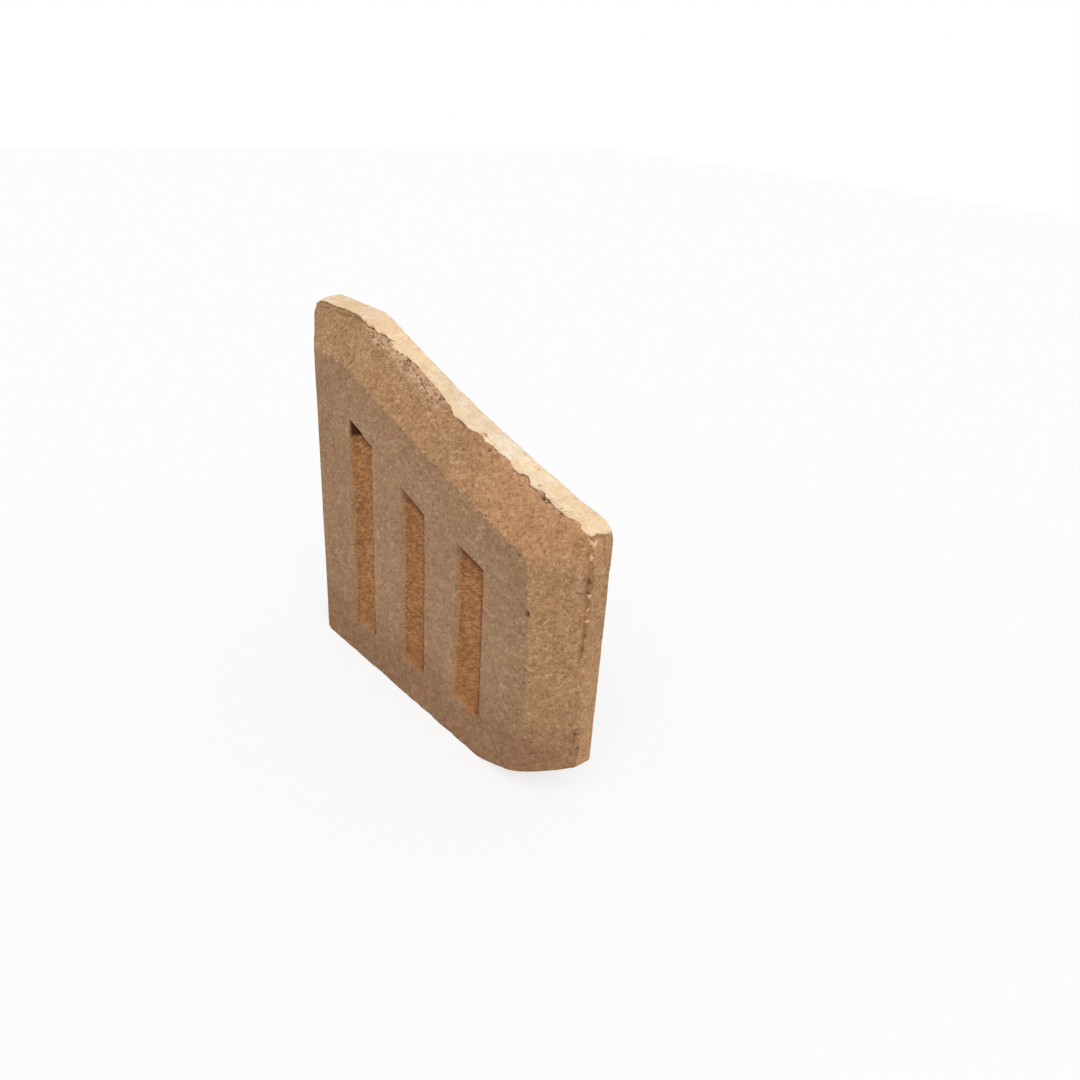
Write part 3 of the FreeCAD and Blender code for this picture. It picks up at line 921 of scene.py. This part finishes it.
def tornFinish(f, g, tone):
    # torn layers, dark where their noise crosses its middle and pale beside
    # that, and thin broken cracks that follow the skin's ragged edge
    layered, onClay = g.zone["layered"], 1.0 - g.crust
    gap = (g.strata - 0.5).unsigned()
    g.split = f.smooth(gap, 0.022, 0.005) * layered * f.smooth(g.clot + g.patch, 0.6, 1.0)
    g.flake = f.smooth(g.strata, 0.50, 0.55) * layered * onClay
    band = f.smooth(g.zone["crust"], -4.6, -1.2) * layered * onClay
    tone = f.mix(band * (0.25 + 0.35 * g.grain), tone, skin["flake"])
    tone = f.mix(f.smooth(g.flake, 0.05, 1.0) * 0.45, tone, skin["flake"])
    tone = f.mix(g.split * 0.5, tone, clay["tornAndShade"])
    border = g.zone["crust"] + g.edge
    under = f.smooth(border, -1.15, -0.55) * f.smooth(border, 0.05, -0.3)
    under = under * f.smooth(g.clot + g.hue, 0.85, 1.1)
    deeper = border + (g.patch - 0.5) * 2.0
    deeper = f.smooth(deeper, -3.3, -2.8) * f.smooth(deeper, -2.0, -2.5)
    deeper = deeper * f.smooth(g.clot - g.hue, -0.1, 0.15)
    cracked = (under * 0.75 + deeper * 0.55) * f.smooth(layered, 0.1, 0.5)
    tone = f.mix(cracked, tone, clay["tornAndShade"])
    return f.mix(g.zone["rust"] * 0.4 * onClay, tone, clay["rust"])


def unevenLevel(f, g, tone):
    # slow changes of brightness, strongest on the slots' floors
    level = 1.0 + (g.drift - 0.5) * 0.24 + (g.blotch - 0.5) * 0.22
    level = level + (g.patch - 0.5) * (0.14 + 0.3 * g.floor + 0.16 * g.slope)
    # painted highlight along the face's arris, partly also paler worn clay
    level = level + g.zone["arris"] * 0.04
    grey = f.node("ShaderNodeCombineColor", {}, [level, level, level])
    return f.mix(1.0, tone, grey, "MULTIPLY")


def smallMarks(f, g, tone):
    # scattered dark specks, each in its own cell, only some cells holding one
    for scale, size, keep, depth in clay["specks"]:
        kept = f.smooth(f.cells(g.bent, scale, "Color", 1), keep, 1.0)
        distance = f.cells(g.bent, scale, "Distance")
        spot = f.smooth(distance, size, size * 0.4) * f.smooth(kept, 0.0, 0.15)
        spot = spot * (0.35 + 0.65 * kept) * (1.0 - g.crust) * depth * 1.7
        tone = f.mix(spot, tone, clay["speck"])
    for spot, size, share in skin["pinholes"]:
        away = f.vector("DISTANCE", [g.bent, spot], "Value")
        tone = f.mix(f.smooth(away, size, size * 0.4) * share, tone, clay["rust"])
    away = f.vector("DISTANCE", [g.bent, skin["blister"]], "Value")
    ring = f.smooth(away, 0.0022, 0.0014) * f.smooth(away, 0.0002, 0.0011)
    tone = f.mix(ring * f.smooth(g.grain, 0.25, 0.6) * 0.85, tone, clay["rust"])
    # painted shade: the slots' floors darkened under the slanted top and along the right side
    tone = f.mix(g.zone["shaded"] * 0.85, tone, clay["shade"])
    # torn places, with painted shade in the hollow and a painted shadow under the lip
    return f.mix(g.zone["tornAndShade"], tone, clay["tornAndShade"])


def clayFinish():
    f = Finish(bpy.data.materials.new("firedClay"))
    g = patterns(f)
    tone = bareClay(f, g)
    for stage in (paleSkin, grogGrain, tornFinish, unevenLevel, smallMarks):
        tone = stage(f, g, tone)
    relief = g.grain * 0.5 + g.fine * 0.35 + g.grog * 0.3 - g.split * 1.2 + g.flake * 0.6
    bump = {"Strength": clay["bump"], "Distance": clay["bumpHeight"], "Height": relief}
    surface = f.node("ShaderNodeBsdfPrincipled", {}, {
        "Base Color": tone,
        "Roughness": clay["roughness"] - g.grain * 0.12,
        "Normal": f.node("ShaderNodeBump", {}, bump),
        "Specular IOR Level": clay["shine"],
    })
    f.node("ShaderNodeOutputMaterial", {}, [surface])
    return f.owner


body = build()
body.data.materials.append(clayFinish())
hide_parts("firebrick")
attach(body, "root")
print("brick dressed")

# Studio: pale floor that stays white to the camera and keeps a soft shadow.
studio = {
    "floorReach": 6.0,
    "floorColour": (0.86, 0.86, 0.86, 1.0),
    "floorGlow": 0.75,  # share of plain white in what the camera sees
    "white": (1.0, 1.0, 1.0, 1.0),
    "worldStrength": 0.60,
    "keyStrength": 1.75,
    "keyFrom": (0.46, -0.36, 0.80),
    "keyAngle": 50.0,
    "sensor": 36.0,
    "lens": 30.42,
    "nearest": 0.01,
    "furthest": 50.0,
    "eye": (0.35015, -0.24788, 0.32300),
    "look": (-0.6502, 0.6040, -0.4612),
    "across": (0.6561, 0.7527, 0.0597),
}


def whiteToCamera(tree):
    # camera, glossy and transmission rays, added up and capped at one
    names = ("Is Camera Ray", "Is Glossy Ray", "Is Transmission Ray")
    camera, glossy, through = (tree.node("ShaderNodeLightPath", {}, [], name) for name in names)
    return (camera + glossy + through).clamp()


paint = Finish(bpy.data.materials.new("paleFloor"))
matt = paint.node("ShaderNodeBsdfDiffuse", {}, {"Color": studio["floorColour"]})
glow = paint.node("ShaderNodeEmission", {}, {"Strength": 1.0})
seen = whiteToCamera(paint) * studio["floorGlow"]
blend = paint.node("ShaderNodeMixShader", {}, [seen, matt, glow])
paint.node("ShaderNodeOutputMaterial", {}, [blend])
half = studio["floorReach"] / 2
corners = [(-half, -half, 0), (half, -half, 0), (half, half, 0), (-half, half, 0)]
floorMesh = bpy.data.meshes.new("floor")
floorMesh.from_pydata(corners, [], [(0, 1, 2, 3)])
floorMesh.materials.append(paint.owner)
floor = bpy.data.objects.new("floor", floorMesh)
bpy.context.scene.collection.objects.link(floor)

world = bpy.data.worlds.new("studio")
bpy.context.scene.world = world
sky = Finish(world)
backdrops = [
    sky.node("ShaderNodeBackground", {}, {"Color": studio["white"], "Strength": strength})
    for strength in (studio["worldStrength"], 1.0)
]
blend = sky.node("ShaderNodeMixShader", {}, [whiteToCamera(sky), *backdrops])
sky.node("ShaderNodeOutputWorld", {}, [blend])

key = bpy.data.lights.new("key", "SUN")
key.energy = studio["keyStrength"]
key.angle = math.radians(studio["keyAngle"])
keyLamp = bpy.data.objects.new("key", key)
keyLamp.rotation_mode = "QUATERNION"
keyLamp.rotation_quaternion = Vector(studio["keyFrom"]).to_track_quat("Z", "Y")
bpy.context.scene.collection.objects.link(keyLamp)

camera = bpy.data.cameras.new("camera")
camera.sensor_width = studio["sensor"]
camera.lens = studio["lens"]
camera.clip_start, camera.clip_end = studio["nearest"], studio["furthest"]
eye = bpy.data.objects.new("camera", camera)
back = -Vector(studio["look"]).normalized()
across = Vector(studio["across"]).normalized()
up = back.cross(across).normalized()
across = up.cross(back)
turn = Matrix((across, up, back)).transposed().to_4x4()
eye.matrix_world = Matrix.Translation(Vector(studio["eye"])) @ turn
bpy.context.scene.collection.objects.link(eye)
bpy.context.scene.camera = eye
bpy.context.scene.view_settings.view_transform = "Standard"
print("studio ready")
